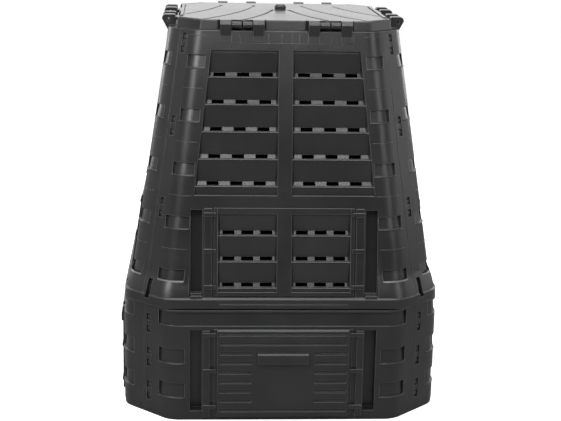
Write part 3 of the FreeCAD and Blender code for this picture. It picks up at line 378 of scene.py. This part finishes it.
def paint_nodes():
    """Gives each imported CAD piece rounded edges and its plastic; returns the body's plastic."""
    body = plastic_material("body_plastic", ROUGHNESS, BODY_GRAIN)
    lid = plastic_material("lid_plastic", ROUGHNESS - LID_GLOSSIER, LID_GRAIN)
    door = plastic_material("door_plastic", ROUGHNESS + DOOR_DULLER, DOOR_GRAIN)
    groups = keep_normals(), use_normals()
    for name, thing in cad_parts.items():
        paint = body
        if name.startswith(("lid", "vent")):
            paint = lid
        if name.startswith(("door", "hatch")):
            paint = door
        thing.data.materials.clear()
        while len(thing.data.materials) <= BEVEL_SLOT:
            thing.data.materials.append(paint)
        for face in thing.data.polygons:
            face.material_index = 0
        round_edges(thing, groups)
    return body


def face_at(rise):
    """Middle-to-side and half-flat sizes of the upper body, a height above its foot."""
    share = rise / UPPER_HEIGHT
    half = FOOT_HALF + (TOP_HALF - FOOT_HALF) * share
    flat = FOOT_FLAT + (TOP_FLAT - FOOT_FLAT) * share
    return half, flat


def corner_path(half, flat, height, width):
    """Points and outward directions around one rounded upright edge, at one height."""
    turn = CORNER_TURN / 2
    out = Vector((math.sin(turn), -math.cos(turn), 0))
    next_flat = Vector((math.cos(CORNER_TURN), math.sin(CORNER_TURN), 0))
    next_out = Vector((math.sin(CORNER_TURN), -math.cos(CORNER_TURN), 0))
    vertex = Vector((flat, -half, height))
    centre = vertex - out * (CORNER_RADIUS / math.cos(turn))
    tangent = CORNER_RADIUS * math.tan(turn)
    before = vertex + Vector((-1, 0, 0)) * (width / 2 / math.cos(turn))
    after = vertex + next_flat * (width / 2 / math.cos(turn))
    path = [(before, Vector((0, -1, 0)))] if width / 2 > tangent else []
    for step in range(ARC_STEPS + 1):
        angle = CORNER_TURN * step / ARC_STEPS - math.pi / 2
        away = Vector((math.cos(angle), math.sin(angle), 0))
        path.append((centre + away * CORNER_RADIUS, away))
    if width / 2 > tangent:
        path.append((after, next_out))
    return path


def add_ridge(mesh, path, across, width, proud):
    """A low rounded ridge along a path of (point, outward direction)."""
    rings = []
    for point, out in path:
        rings.append([mesh.verts.new(point + across * (side * width) + out * (rise * proud))
                      for side, rise in RIDGE_PROFILE])
    for one, other in zip(rings, rings[1:]):
        for index in range(len(RIDGE_PROFILE) - 1):
            mesh.faces.new((one[index], one[index + 1], other[index + 1], other[index]))
    mesh.faces.new(rings[0])
    mesh.faces.new(list(reversed(rings[-1])))


def both_ways(path):
    """The same path on the other side of the plane X = 0."""
    return [(Vector((-point.x, point.y, point.z)), Vector((-out.x, out.y, out.z)))
            for point, out in path]


def corner_ridges(mesh):
    """Lips under the recesses on the upright edges, and a fine line halfway between them."""
    up = Vector((0, 0, 1))
    runs = []
    for index in range(POCKETS):
        middle = POCKET_FIRST + POCKET_PITCH * index
        share = index / (POCKETS - 1)
        width = POCKET_WIDE + (POCKET_NARROW - POCKET_WIDE) * share
        lip = width + LIP_OVERLAP
        rise = middle - POCKET_HEIGHT / 2 - LIP_HEIGHT / 2
        runs.append((face_at(rise), RING_HEIGHT + rise, lip, LIP_HEIGHT, LIP_PROUD))
        rise = min(middle + POCKET_PITCH / 2, UPPER_HEIGHT - LINE_MARGIN)
        runs.append((face_at(rise), RING_HEIGHT + rise, width, LINE_HEIGHT, LINE_PROUD))
    for index in range(RING_POCKETS):
        rise = RING_POCKET_FIRST + RING_POCKET_PITCH * index - LIP_HEIGHT / 2
        lip = POCKET_WIDE + LIP_OVERLAP
        runs.append(((RING_HALF, RING_FLAT), rise, lip, LIP_HEIGHT, LIP_PROUD))
    for (half, flat), height, width, high, proud in runs:
        path = corner_path(half, flat, height, width)
        add_ridge(mesh, path, up, high, proud)
        add_ridge(mesh, both_ways(path), up, high, proud)


def face_lines(mesh):
    """Fine upright and level lines on the band above the windows."""
    slope = (FOOT_HALF - TOP_HALF) / UPPER_HEIGHT
    out = Vector((0, -1, slope)).normalized()

    def place(x, rise):
        return Vector((x, -face_at(rise)[0], RING_HEIGHT + rise)), out

    for x in GRID_LINES:
        add_ridge(mesh, [place(x, GRID_LOW), place(x, GRID_TOP)], Vector((1, 0, 0)),
                  GRID_WIDTH, GRID_PROUD)
    ends = GRID_LINES[0], GRID_LINES[-1]
    add_ridge(mesh, [place(ends[0], GRID_LEVEL), place(ends[1], GRID_LEVEL)], Vector((0, 0, 1)),
              GRID_WIDTH, GRID_PROUD)


def mouldings(paint):
    """The ridges of all four sides, as one thin piece of trim on the bin."""
    shape = bmesh.new()
    corner_ridges(shape)
    face_lines(shape)
    quarter = bpy.data.meshes.new("quarter")
    shape.to_mesh(quarter)
    for _ in range(1, SIDES):
        quarter.transform(Matrix.Rotation(math.tau / SIDES, 4, "Z"))
        shape.from_mesh(quarter)
    bpy.data.meshes.remove(quarter)
    bmesh.ops.recalc_face_normals(shape, faces=shape.faces)
    mesh = bpy.data.meshes.new("mouldings")
    shape.to_mesh(mesh)
    shape.free()
    for face in mesh.polygons:
        face.use_smooth = True
    mesh.materials.append(paint)
    thing = bpy.data.objects.new("mouldings", mesh)
    scene.collection.objects.link(thing)
    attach(thing, "bin")


def area_light(name, place, target, size, power):
    """A softbox that the camera doesn't see."""
    data = bpy.data.lights.new(name, "AREA")
    data.shape = "RECTANGLE"
    data.size, data.size_y = size
    data.energy = power
    lamp = bpy.data.objects.new(name, data)
    lamp.location = place
    lamp.rotation_euler = (Vector(target) - Vector(place)).to_track_quat("-Z", "Y").to_euler()
    lamp.visible_camera = False
    scene.collection.objects.link(lamp)


def seen_rays(add, link):
    """1 for camera and transmission rays, which see the white background itself."""
    path = add("ShaderNodeLightPath")
    either = add("ShaderNodeMath")
    either.operation = "MAXIMUM"
    link(path.outputs["Is Camera Ray"], either.inputs[0])
    link(path.outputs["Is Transmission Ray"], either.inputs[1])
    return path, either.outputs[0]


def make_world():
    """White to the camera; a studio that is white behind the bin and dimmer in front of it."""
    world = bpy.data.worlds.new("studio")
    scene.world = world
    world.use_nodes = True
    tree = world.node_tree
    tree.nodes.clear()
    add = tree.nodes.new
    link = tree.links.new

    place = add("ShaderNodeTexCoord")
    parts = add("ShaderNodeSeparateXYZ")
    link(place.outputs["Generated"], parts.inputs[0])
    depth = add("ShaderNodeMapRange")
    set_inputs(depth, From_Min=STUDIO_FADE[0], From_Max=STUDIO_FADE[1],
               To_Min=STUDIO_FRONT, To_Max=STUDIO_BACK)
    link(parts.outputs["Y"], depth.inputs["Value"])

    path, seen = seen_rays(add, link)
    mirrored = add("ShaderNodeBackground")
    link(depth.outputs["Result"], mirrored.inputs["Strength"])
    soft = add("ShaderNodeBackground")
    soft.inputs["Strength"].default_value = STUDIO_SOFT
    white = add("ShaderNodeBackground")
    white.inputs["Strength"].default_value = 1.0
    for background in (mirrored, soft, white):
        background.inputs["Color"].default_value = WHITE
    glossy = add("ShaderNodeMixShader")
    link(path.outputs["Is Glossy Ray"], glossy.inputs["Fac"])
    link(soft.outputs[0], glossy.inputs[1])
    link(mirrored.outputs[0], glossy.inputs[2])
    mix = add("ShaderNodeMixShader")
    link(seen, mix.inputs["Fac"])
    link(glossy.outputs[0], mix.inputs[1])
    link(white.outputs[0], mix.inputs[2])
    out = add("ShaderNodeOutputWorld")
    link(mix.outputs[0], out.inputs["Surface"])


def make_floor():
    """A white floor that keeps the bin's shadow."""
    mesh = bpy.data.meshes.new("floor")
    corners = [(-FLOOR_REACH, -FLOOR_REACH, 0), (FLOOR_REACH, -FLOOR_REACH, 0),
               (FLOOR_REACH, FLOOR_REACH, 0), (-FLOOR_REACH, FLOOR_REACH, 0)]
    mesh.from_pydata(corners, [], [(0, 1, 2, 3)])
    floor = bpy.data.objects.new("floor", mesh)
    scene.collection.objects.link(floor)
    floor.location.z = -FLOOR_DROP
    material, add, link = new_material("floor")
    output = add("ShaderNodeOutputMaterial")
    matt = add("ShaderNodeBsdfDiffuse")
    matt.inputs["Color"].default_value = FLOOR_COLOR
    glow = add("ShaderNodeEmission")
    set_inputs(glow, Color=WHITE, Strength=FLOOR_GLOW)
    both = add("ShaderNodeAddShader")
    link(matt.outputs[0], both.inputs[0])
    link(glow.outputs[0], both.inputs[1])
    bounce = add("ShaderNodeBsdfDiffuse")
    bounce.inputs["Color"].default_value = FLOOR_BOUNCE
    path = add("ShaderNodeLightPath")
    mix = add("ShaderNodeMixShader")
    link(path.outputs["Is Camera Ray"], mix.inputs["Fac"])
    link(bounce.outputs[0], mix.inputs[1])
    link(both.outputs[0], mix.inputs[2])
    link(mix.outputs[0], output.inputs["Surface"])
    mesh.materials.append(material)


def make_lights():
    """The key, the fill and the softboxes all around."""
    for name, place, target, size, power in LIGHTS:
        area_light(name, place, target, size, power)


make_camera()
make_world()
make_floor()
make_lights()
mouldings(paint_nodes())

scene.view_settings.view_transform = "Standard"
